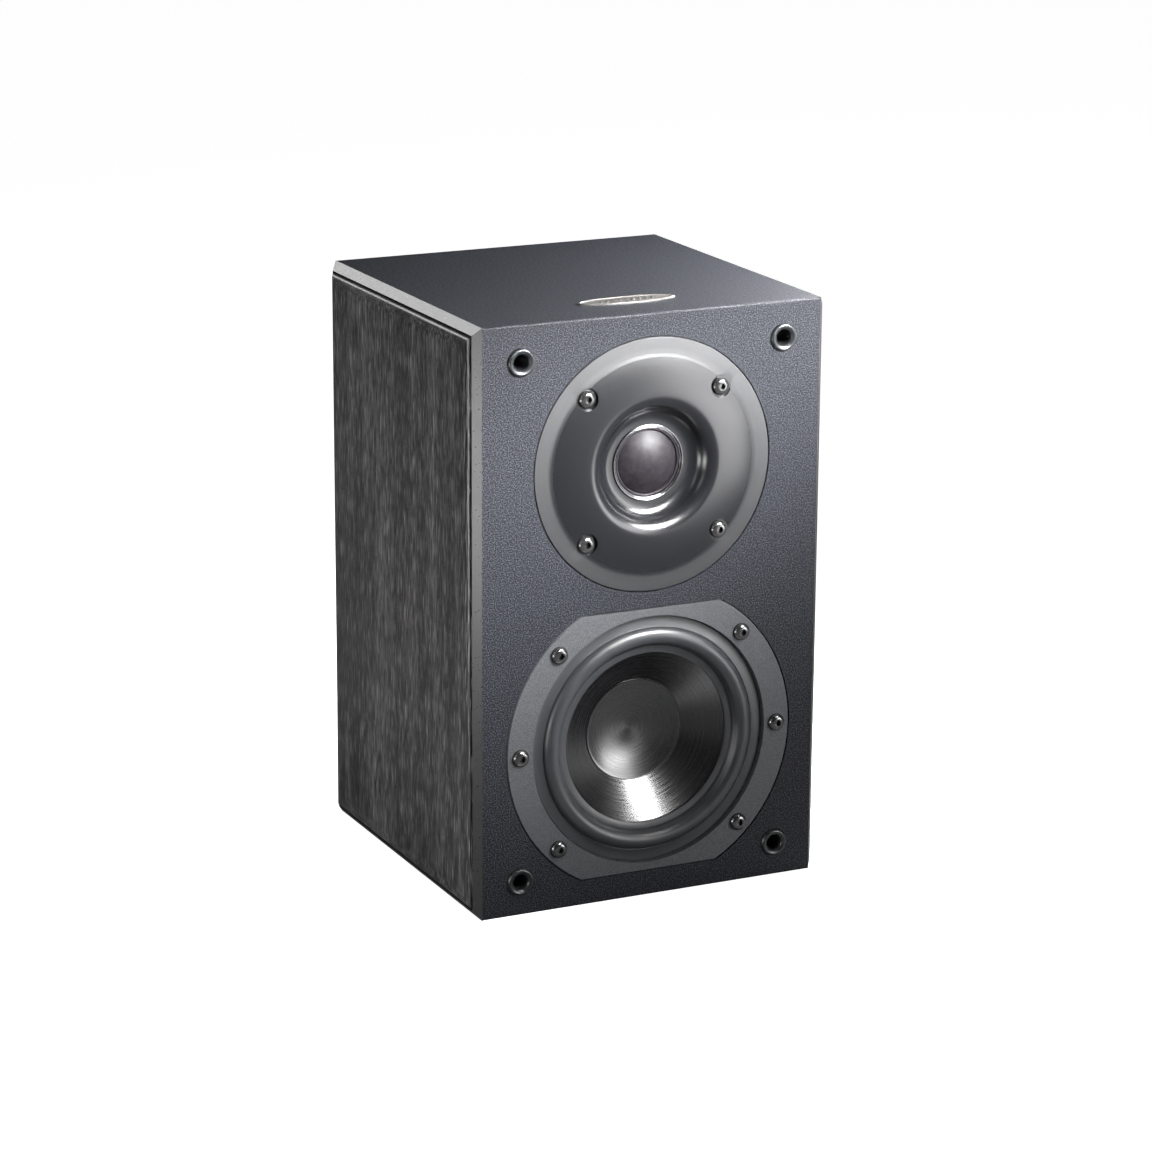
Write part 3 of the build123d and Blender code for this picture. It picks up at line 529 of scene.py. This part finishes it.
surround_outline = (
    [(50.8, 2.6), (50.8, 2.0), (46.9, 2.0), (46.6, 1.85), (46.35, 2.0)]
    + arc((46.35, 2.0), (42.5, -0.6), (38.8, 3.3), 24)
    + [(38.3, 3.35), (35.7, 3.3), (35.5, 3.45), (35.5, 3.9), (38.2, 3.9)]
    + arc((38.2, 3.9), (42.5, 0.1), (46.2, 2.6), 16)
)
surround = turned("woofer_rubber_surround", surround_outline, woofer_axis, 192)
rubber = make_rubber()
soft_part(surround, "woofer_surround", rubber, "woofer cone assembly", woofer_axis, 0.0462, 0.0388)

# %% Cone and dust cap
def make_cone_skin(name, spacing, tilt):
    cone = Finish(name, (0.002, 0.002, 0.0024), 0.22)
    radius = cone.radius(woofer_axis)
    turning = cone.math("SINE", cone.math("MULTIPLY", radius, 2 * pi / spacing), 0.0)
    rings = cone.nodes.new("ShaderNodeTexNoise")
    rings.noise_dimensions = "1D"
    rings.inputs["Scale"].default_value = 2500
    rings.inputs["Detail"].default_value = 3
    cone.links.new(radius, rings.inputs["W"])
    height = cone.math("ADD", cone.math("MULTIPLY", turning, 0.3), rings.outputs["Fac"])
    cone.bump(height, tilt, 0.00004)
    cone.roughness(cone.ramp(rings.outputs["Fac"], [(0.3, 0.2), (0.7, 0.3)]))
    cone.shader.inputs["Specular IOR Level"].default_value = 0.9
    cone.shader.inputs["Anisotropic"].default_value = 0.6
    tangent = cone.nodes.new("ShaderNodeTangent")
    tangent.direction_type = "RADIAL"
    tangent.axis = "Y"
    cone.links.new(tangent.outputs["Tangent"], cone.shader.inputs["Tangent"])
    return cone.material


def cone_depth(radius):
    return 4.4 + (35.5 - radius) * 0.738


cone_outline = (
    [(35.5, 4.4), (35.5, 4.0), (38.2, 4.0), (38.2, 4.9), (35.5, 5.5)]
    + [(12.85, cone_depth(12.85) + 0.8), (12.85, cone_depth(12.85))]
    + [(r, cone_depth(r)) for r in (16, 20, 24, 28, 32)]
)
cone = turned("woofer_cone_skin", cone_outline, woofer_axis, 192)
stand_for(cone, "woofer_cone", make_cone_skin("polished_cone", 0.0006, 0.05))
seat = cone_depth(20.6)
cap_front = cap_points(20.5, seat - 0.55, seat + 3.4, 24)
cap_back = cap_points(20.6, seat, seat + 3.9, 16)[::-1]
cap_outline = cap_front + cap_back + [(21.0, cone_depth(21.0)), (20.9, seat - 0.62)]
dust_cap = turned("woofer_dished_cap", cap_outline, woofer_axis, 160)
stand_for(dust_cap, "woofer_dust_cap", make_cone_skin("polished_cap", 0.0004, 0.015))

# %% Basket paint
def make_basket_paint():
    paint_coat = Finish("textured_paint", (0.045, 0.048, 0.052), 0.55)
    grain = paint_coat.noise(2200, 2.0)
    paint_coat.colour(paint_coat.ramp(grain, [(0.35, (0.013, 0.014, 0.016)), (0.65, (0.043, 0.045, 0.05))]))
    paint_coat.bump(grain, 0.4, 0.0001)
    return paint_coat.material


basket_paint = make_basket_paint()
paint("woofer_basket", basket_paint)

# %% [markdown]
# ## Screws and grille sockets
# All ten driver screws are the same black socket-head screw with a domed head. It is modelled
# once, head, socket and shank, and copied to each place. The socket is a six-sided hole, cut
# with a short prism.

# %% Driver screws
def make_screw_black():
    screw = Finish("gloss_black_screw", (0.1, 0.1, 0.1), 0.14, 0.9)
    screw.roughness(screw.ramp(screw.noise(900, 2.0), [(0.3, 0.12), (0.7, 0.24)]))
    return screw.material


head_outline = (
    [(0, 11.0), (0, -2.1), (1.55, -2.1)] + arc((1.55, -2.1), (3.05, -1.45), (3.65, -0.25), 10)
    + [(3.65, 0.0), (1.7, 0.0), (1.7, 8.5)]
)
first_screw = turned("screw", head_outline, Vector((0, 0, 0)), 48)
socket_tool = turned("socket_tool", [(0, -3), (1.45, -3), (1.45, -0.6), (0, -0.6)], Vector((0, 0, 0)), 6)
cut(first_screw, socket_tool)
woofer_low, woofer_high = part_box("woofer_screws")
woofer_screw_r = (woofer_high.x - woofer_low.x) / 2 - HEAD_R * MM
WOOFER_SCREW_TURNS = [radians(turn) for turn in (0, 45, 135, 180, 225, 315)]
woofer_screw_places = [
    Vector((woofer_axis.x + woofer_screw_r * cos(turn), 0, woofer_axis.z + woofer_screw_r * sin(turn)))
    for turn in WOOFER_SCREW_TURNS
]
screw_black = make_screw_black()
for node, places in (("woofer_screws", woofer_screw_places), ("tweeter_screws", tweeter_screw_places)):
    copies = [copy_to(first_screw, "screw_copy", place) for place in places]
    stand_for(joined(node + "_heads", copies), node, screw_black)
bpy.data.objects.remove(first_screw)

# %% Grille sockets
def make_socket_plastic():
    plastic = Finish("socket_plastic", (0.008, 0.009, 0.01), 0.3)
    plastic.roughness(plastic.ramp(plastic.noise(500, 2.0), [(0.3, 0.25), (0.7, 0.38)]))
    return plastic.material


socket_low, socket_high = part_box("grille_sockets")
SOCKET_R = 5.8
socket_outline = (
    [(0, 8.0), (3.0, 8.0), (3.0, 0.5)] + arc((3.0, 0.5), (3.3, -0.5), (4.1, -1.1), 6)
    + arc((4.1, -1.1), (4.7, -1.3), (5.3, -1.05), 5)
    + [(5.72, -0.4), (5.8, 0.0), (4.0, 0.0), (4.0, 8.9), (0, 8.9)]
)
sockets = []
for x in (socket_low.x + SOCKET_R * MM, socket_high.x - SOCKET_R * MM):
    for z in (socket_low.z + SOCKET_R * MM, socket_high.z - SOCKET_R * MM):
        sockets.append(turned("socket", socket_outline, Vector((x, 0, z)), 64))
stand_for(joined("grille_socket_set", sockets), "grille_sockets", make_socket_plastic())

# %% [markdown]
# ## Badge
# A small oval plate of brushed aluminium sits on the top, near the front. It carries a plain
# pattern of raised slanted strokes inside a narrow rim, and no lettering.

# %% Oval badge
def make_brushed_metal():
    metal = Finish("brushed_badge", (0.1, 0.096, 0.092), 0.4, 0.5)
    lines = metal.noise(1.0, 3.0, metal.stretched((120, 4000, 4000)))
    metal.roughness(metal.ramp(lines, [(0.3, 0.25), (0.7, 0.45)]))
    metal.bump(lines, 0.15, 0.00004)
    return metal.material


badge_low, badge_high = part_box("badge_plate")
badge_centre = (badge_low + badge_high) / 2
badge_half = (badge_high - badge_low) / 2
bpy.ops.object.select_all(action="DESELECT")
bpy.ops.mesh.primitive_cylinder_add(vertices=96, radius=1, depth=1, location=(0, 0, 0))
badge = bpy.context.object
badge.name = "oval_badge"
badge.data.transform(
    Matrix.Translation((badge_centre.x, badge_centre.y, badge_low.z + badge_half.z * 0.6))
    @ Matrix.Diagonal((badge_half.x, badge_half.y, badge_half.z * 1.2, 1))
)
bpy.ops.object.mode_set(mode="EDIT")
bpy.ops.mesh.select_mode(type="FACE")
bpy.ops.mesh.select_all(action="DESELECT")
bpy.ops.object.mode_set(mode="OBJECT")
for face in badge.data.polygons:
    face.select = face.normal.z > 0.9
bpy.ops.object.mode_set(mode="EDIT")
bpy.ops.mesh.inset(thickness=0.00015)
bpy.ops.transform.translate(value=(0, 0, 0.00025))
bpy.ops.mesh.inset(thickness=0.0007)
bpy.ops.mesh.inset(thickness=0.00015)
bpy.ops.transform.translate(value=(0, 0, -0.00025))
bpy.ops.object.mode_set(mode="OBJECT")
stroke_count = 9
strokes = []
for index in range(stroke_count):
    bpy.ops.object.select_all(action="DESELECT")
    bpy.ops.mesh.primitive_cube_add(size=1, location=(0, 0, 0))
    stroke = bpy.context.object
    length = 0.0046 * (1 - 0.25 * abs(index - 4) / 4)
    along = (index - (stroke_count - 1) / 2) * 0.0028
    stroke.data.transform(
        Matrix.Translation((badge_centre.x + along, badge_centre.y, badge_high.z - 0.00025))
        @ Euler((0, 0, radians(-25))).to_matrix().to_4x4() @ Matrix.Diagonal((0.001, length, 0.0005, 1))
    )
    bpy.ops.object.mode_set(mode="EDIT")
    bpy.ops.mesh.select_all(action="SELECT")
    bpy.ops.mesh.bevel(offset=0.00012, segments=2)
    bpy.ops.object.mode_set(mode="OBJECT")
    strokes.append(stroke)
badge = joined("oval_badge", [badge, *strokes])
bpy.ops.object.shade_smooth_by_angle(angle=radians(30))
stand_for(badge, "badge_plate", make_brushed_metal())

# %% [markdown]
# ## Back of the cabinet
# The bass port is a flared plastic tube, and the terminal cup is a moulded well with two
# fluted binding posts. They are turned or kept from the frame, with a fine moulded grain.

# %% Port and terminal cup
def make_moulded_black(name, grain_scale):
    plastic = Finish(name, (0.022, 0.022, 0.023), 0.45)
    grain = plastic.noise(grain_scale, 2.0)
    plastic.roughness(plastic.ramp(grain, [(0.3, 0.38), (0.7, 0.55)]))
    plastic.bump(grain, 0.25, 0.00008)
    return plastic.material


port_axis = middle("port_tube")
port_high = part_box("port_tube")[1]
port_outline = (
    [(17.5, -70.0), (17.5, -8.0)] + arc((17.5, -8.0), (19.5, -3.0), (23.5, 0.0), 12)
    + [(25.8, 0.0)] + arc((25.8, 0.0), (26.6, -0.3), (27.0, -1.1), 5)
    + [(27.0, -2.0), (20.0, -2.0), (20.0, -70.0)]
)
port = turned("bass_port", port_outline, port_axis, 128, front=port_high.y)
moulded = make_moulded_black("moulded_black", 900)
stand_for(port, "port_tube", moulded)
for node in ("terminal_cup", "terminal_collars"):
    paint(node, moulded)

# %% Binding-post knobs
def make_knob_plastic(name, colour):
    plastic = Finish(name, colour, 0.18)
    plastic.shader.inputs["Coat Weight"].default_value = 0.4
    plastic.roughness(plastic.ramp(plastic.noise(300, 2.0), [(0.3, 0.14), (0.7, 0.26)]))
    return plastic.material


def knob(node, material):
    low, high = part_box(node)
    centre = (low + high) / 2
    outline = (
        [(3.08, -14.0), (6.0, -14.0), (6.4, -13.6), (6.4, -12.0), (5.9, -11.6), (5.9, -0.9)]
        + arc((5.9, -0.9), (5.6, -0.25), (5.0, 0.0), 5) + [(3.6, 0.0), (3.08, -0.4)]
    )
    body = turned("knob", outline, centre, 96, front=high.y)
    flutes = []
    for index in range(12):
        turn = 2 * pi * index / 12
        place = Vector((centre.x + 0.0067 * cos(turn), 0, centre.z + 0.0067 * sin(turn)))
        flute_outline = [(0, -11.2), (1.15, -11.2), (1.15, 1.0), (0, 1.0)]
        flutes.append(turned("flute", flute_outline, place, 20, front=high.y))
    cut(body, joined("flutes", flutes))
    body.name = node + "_fluted"
    stand_for(body, node, material)


knob("terminal_knob_red", make_knob_plastic("red_knob", (0.42, 0.012, 0.012)))
knob("terminal_knob_black", make_knob_plastic("black_knob", (0.012, 0.012, 0.012)))

# %% [markdown]
# ## Inside the cabinet
# The motors, crossover and cables keep their CAD shapes. Each gets the finish of its real
# material: plated steel, sintered ferrite, enamelled copper, lacquered board, and so on.

# %% Finishes of the inner pieces
def plain_finish(name, colour, roughness, metallic, grain_scale, grain_depth, tint=0.25):
    """A solid material with a fine grain in its colour, gloss and relief."""
    made = Finish(name, colour, roughness, metallic)
    grain = made.noise(grain_scale, 4.0)
    dark = tuple(c * (1 - tint) for c in colour)
    light = tuple(min(c * (1 + tint), 1.0) for c in colour)
    made.colour(made.ramp(grain, [(0.3, dark), (0.7, light)]))
    made.roughness(made.ramp(grain, [(0.3, roughness * 0.85), (0.7, min(roughness * 1.2, 1.0))]))
    made.bump(grain, 0.3, grain_depth)
    return made.material


def winding(name, colour, pitch, direction):
    """Enamelled wire wound side by side: fine ridges along one direction."""
    made = Finish(name, colour, 0.3, 0.9)
    wave = made.nodes.new("ShaderNodeTexWave")
    wave.bands_direction = direction
    wave.inputs["Scale"].default_value = 1 / pitch / 3.1416
    made.links.new(made.place, wave.inputs["Vector"])
    made.bump(wave.outputs["Fac"], 0.6, pitch / 3)
    made.colour(made.ramp(made.noise(300, 2.0), [(0.3, tuple(c * 0.8 for c in colour)), (0.7, colour)]))
    return made.material


inner_finishes = {
    "board_inner": plain_finish("raw_fibreboard", (0.42, 0.33, 0.23), 0.85, 0.0, 900, 0.0001),
    "foam_black": plain_finish("closed_cell_foam", (0.03, 0.03, 0.03), 0.9, 0.0, 1600, 0.0002),
    "former_paper": plain_finish("coil_former", (0.55, 0.4, 0.26), 0.45, 0.4, 300, 0.00003),
    "copper_wire": winding("enamelled_copper", (0.72, 0.3, 0.14), 0.0004, "Y"),
    "steel_plate": plain_finish("zinc_plated_steel", (0.55, 0.56, 0.57), 0.35, 1.0, 250, 0.00003, 0.1),
    "ferrite": plain_finish("sintered_ferrite", (0.06, 0.06, 0.063), 0.6, 0.0, 700, 0.00008),
    "tin_tab": plain_finish("tinned_brass", (0.7, 0.66, 0.55), 0.3, 1.0, 300, 0.00002, 0.08),
    "spider_cloth": plain_finish("treated_cloth", (0.6, 0.45, 0.18), 0.8, 0.0, 1500, 0.0001),
    "board_green": plain_finish("lacquered_board", (0.03, 0.16, 0.07), 0.3, 0.0, 500, 0.00002),
    "nylon": plain_finish("natural_nylon", (0.75, 0.74, 0.68), 0.45, 0.0, 300, 0.00002, 0.05),
    "zinc_screw": plain_finish("zinc_screw", (0.62, 0.62, 0.63), 0.3, 1.0, 600, 0.00002, 0.1),
    "capacitor_film": plain_finish("capacitor_film", (0.7, 0.42, 0.06), 0.25, 0.0, 200, 0.00002, 0.08),
    "resistor_ceramic": plain_finish("resistor_ceramic", (0.78, 0.76, 0.7), 0.7, 0.0, 900, 0.00006, 0.06),
    "cable_black": plain_finish("cable_jacket", (0.02, 0.02, 0.02), 0.4, 0.0, 400, 0.00002),
    "brass": plain_finish("turned_brass", (0.7, 0.5, 0.2), 0.28, 1.0, 900, 0.00003, 0.1),
    "gold_plate": plain_finish("gold_plate", (0.9, 0.66, 0.28), 0.2, 1.0, 500, 0.00001, 0.06),
    "screw_black": screw_black,
}
for node in sorted(nodes):
    if slot_of[node] in inner_finishes:
        paint(node, inner_finishes[slot_of[node]])
print("inner finishes", sorted(inner_finishes))

# %% [markdown]
# ## Spider and leads that flex
# Behind the cone the corrugated spider and the two tinsel leads bend with every stroke: their
# inner ends ride with the cone and their outer ends stay on the basket, as the rolls do.

# %% Spider and tinsel leads
def own_copy(node, name):
    """A copy of a CAD node with its own mesh and without the frame's marks."""
    twin = nodes[node].copy()
    twin.data = nodes[node].data.copy()
    twin.parent = None
    for key in list(twin.keys()):
        del twin[key]
    twin.name = name
    bpy.context.scene.collection.objects.link(twin)
    return twin


for node, outer_r, inner_r in (("woofer_spider", 0.0325, 0.0145), ("woofer_tinsel_leads", 0.0305, 0.0185)):
    flexing = own_copy(node, node + "_flexing")
    flexing.data.name = flexing.name
    cloth_or_wire = inner_finishes[slot_of[node]]
    soft_part(flexing, node, cloth_or_wire, "woofer cone assembly", woofer_axis, outer_r, inner_r)
print("spider and leads flex with the cone")

# %% [markdown]
# ## Wadding
# A sheet of loose polyester fibre lines the sides and top of the box. It starts as a copy of
# the CAD sheet, rebuilt from small cells, and is then roughened with a cloud pattern so that it
# looks fibrous and uneven.

# %% Acoustic wadding
def make_wadding():
    fibre = Finish("polyester_fibre", (0.78, 0.78, 0.75), 0.95)
    strands = fibre.noise(1.0, 6.0, fibre.stretched((900, 300, 900)), 1.2)
    fibre.colour(fibre.ramp(strands, [(0.35, (0.6, 0.6, 0.57)), (0.65, (0.88, 0.88, 0.86))]))
    fibre.bump(strands, 0.8, 0.0004)
    fibre.shader.inputs["Sheen Weight"].default_value = 0.3
    return fibre.material


wadding = own_copy("acoustic_wadding", "fibre_lining")
select_only(wadding)
bpy.ops.object.mode_set(mode="EDIT")
bpy.ops.mesh.select_all(action="SELECT")
bpy.ops.mesh.remove_doubles(threshold=0.00001)
bpy.ops.object.mode_set(mode="OBJECT")
shrink = wadding.modifiers.new("shrink", "DISPLACE")
shrink.strength = -0.0012
cells = wadding.modifiers.new("cells", "REMESH")
cells.mode = "VOXEL"
cells.voxel_size = 0.003
clouds = bpy.data.textures.new("wadding_clouds", "CLOUDS")
clouds.noise_scale = 0.012
lumps = wadding.modifiers.new("lumps", "DISPLACE")
lumps.texture = clouds
lumps.texture_coords = "LOCAL"
lumps.strength = 0.0025
lumps.mid_level = 0.75
apply_modifiers(wadding)
bpy.ops.object.shade_smooth()
stand_for(wadding, "acoustic_wadding", make_wadding())

# %% [markdown]
# ## Studio
# A black object on a white floor turns grey, because the floor throws light back at it. So this
# floor and the world behind it are white only to the camera: to the lights the floor reflects
# little and the world is dim. Small softboxes do the rest. A strip above the front edge grades
# the front from light to dark, and cards to the right, the left and behind draw the highlights
# on the drivers, the side and the trim. The strip also mirrors strongly in the top when that is
# seen from behind. The camera is a long lens from the left and above.

# %% Floor and light helpers
FLOOR_WHITE = 0.93       # the floor's colour to the camera
BOUNCE = 0.22            # and to the light that falls on it
GLOW = 0.85              # its glow, to the camera alone


def pale_floor():
    bpy.ops.object.select_all(action="DESELECT")
    bpy.ops.mesh.primitive_plane_add(size=60, location=(0, 0, 0))
    floor = bpy.context.object
    floor.name = "studio_floor"
    made = Finish("white_paper", (FLOOR_WHITE, FLOOR_WHITE, FLOOR_WHITE), 0.9)
    path = made.nodes.new("ShaderNodeLightPath")
    made.colour(made.ramp(path.outputs["Is Camera Ray"], [(0.0, BOUNCE), (1.0, FLOOR_WHITE)]))
    made.shader.inputs["Emission Color"].default_value = (1, 1, 1, 1)
    camera_glow = made.math("MULTIPLY", path.outputs["Is Camera Ray"], GLOW)
    made.links.new(camera_glow, made.shader.inputs["Emission Strength"])
    floor.data.materials.append(made.material)


def soft_light(name, place, aim, size, power, spread=180):
    """A rectangular softbox, in metres, watts and degrees, that the camera doesn't see."""
    data = bpy.data.lights.new(name, "AREA")
    data.shape = "RECTANGLE"
    data.size, data.size_y = size
    data.energy = power
    data.spread = radians(spread)
    light = bpy.data.objects.new(name, data)
    light.location = place
    direction = Vector(aim) - Vector(place)
    light.rotation_euler = direction.to_track_quat("-Z", "Y").to_euler()
    light.visible_camera = False
    bpy.context.scene.collection.objects.link(light)


# %% Floor and lights
SKY_POWER = 0.3
SKY_ANGLE = radians(50)

pale_floor()
sun_data = bpy.data.lights.new("overhead_sky", "SUN")
sun_data.energy = SKY_POWER
sun_data.angle = SKY_ANGLE
sun = bpy.data.objects.new("overhead_sky", sun_data)
bpy.context.scene.collection.objects.link(sun)
strip_place = (0.15, front_y - 0.2, top_z + 0.11)
strip_aim = (0.03, front_y, top_z - 0.03)
soft_light("front_top_strip", strip_place, strip_aim, (0.3, 0.08), 1.7, 42)
soft_light("right_softbox", (0.66, -0.88, 0.3), (0, front_y, 0.18), (0.45, 0.5), 6.0)
soft_light("right_low_card", (0.36, -0.5, 0.075), (0, front_y, 0.2), (0.22, 0.14), 0.7)
card_place = (-0.035, front_y - 0.046, 0.004)
card_aim = (-0.03, front_y - 0.01, 0.2)
soft_light("floor_card", card_place, card_aim, (0.08, 0.04), 0.006, 90)
soft_light("left_card", (-0.52, -0.22, 0.075), (-0.07, -0.06, 0.17), (0.24, 0.14), 1.3)
soft_light("left_fill", (-0.85, -0.45, 0.5), (-0.07, 0, 0.24), (0.25, 0.4), 0.8)
soft_light("back_softbox", (-0.51, 1.04, 0.64), (-0.07, 0, top_z), (0.5, 0.4), 3.8)
soft_light("top_glow", (0.2, -0.01, top_z + 0.09), (0.06, -0.05, top_z), (0.1, 0.08), 3.4)

# %% World
WORLD_LIGHT = 0.05

world = bpy.data.worlds.new("studio")
world.use_nodes = True
surround_light = world.node_tree.nodes["Background"]
surround_light.inputs["Color"].default_value = (1, 1, 1, 1)
surround_light.inputs["Strength"].default_value = WORLD_LIGHT
backdrop = world.node_tree.nodes.new("ShaderNodeBackground")
backdrop.inputs["Color"].default_value = (1, 1, 1, 1)
seen = world.node_tree.nodes.new("ShaderNodeLightPath")
both = world.node_tree.nodes.new("ShaderNodeMixShader")
world.node_tree.links.new(seen.outputs["Is Camera Ray"], both.inputs["Fac"])
world.node_tree.links.new(surround_light.outputs["Background"], both.inputs[1])
world.node_tree.links.new(backdrop.outputs["Background"], both.inputs[2])
world.node_tree.links.new(both.outputs["Shader"], world.node_tree.nodes["World Output"].inputs["Surface"])
bpy.context.scene.world = world
bpy.context.scene.view_settings.view_transform = "Standard"

# %% Camera
CAMERA_PLACE = Vector((-0.661, front_y - 1.315, 0.545))
YAW, PITCH, ROLL = radians(25.52), radians(15.62), radians(0.32)
LENS = 120.8

camera_data = bpy.data.cameras.new("camera")
camera_data.lens = LENS
camera_data.sensor_width = 36
camera_data.clip_end = 50
camera = bpy.data.objects.new("camera", camera_data)
turn = Matrix.Rotation(-YAW, 4, "Z") @ Matrix.Rotation(pi / 2 - PITCH, 4, "X") @ Matrix.Rotation(ROLL, 4, "Z")
camera.matrix_world = Matrix.Translation(CAMERA_PLACE) @ turn
bpy.context.scene.collection.objects.link(camera)
bpy.context.scene.camera = camera
print("camera at", CAMERA_PLACE)
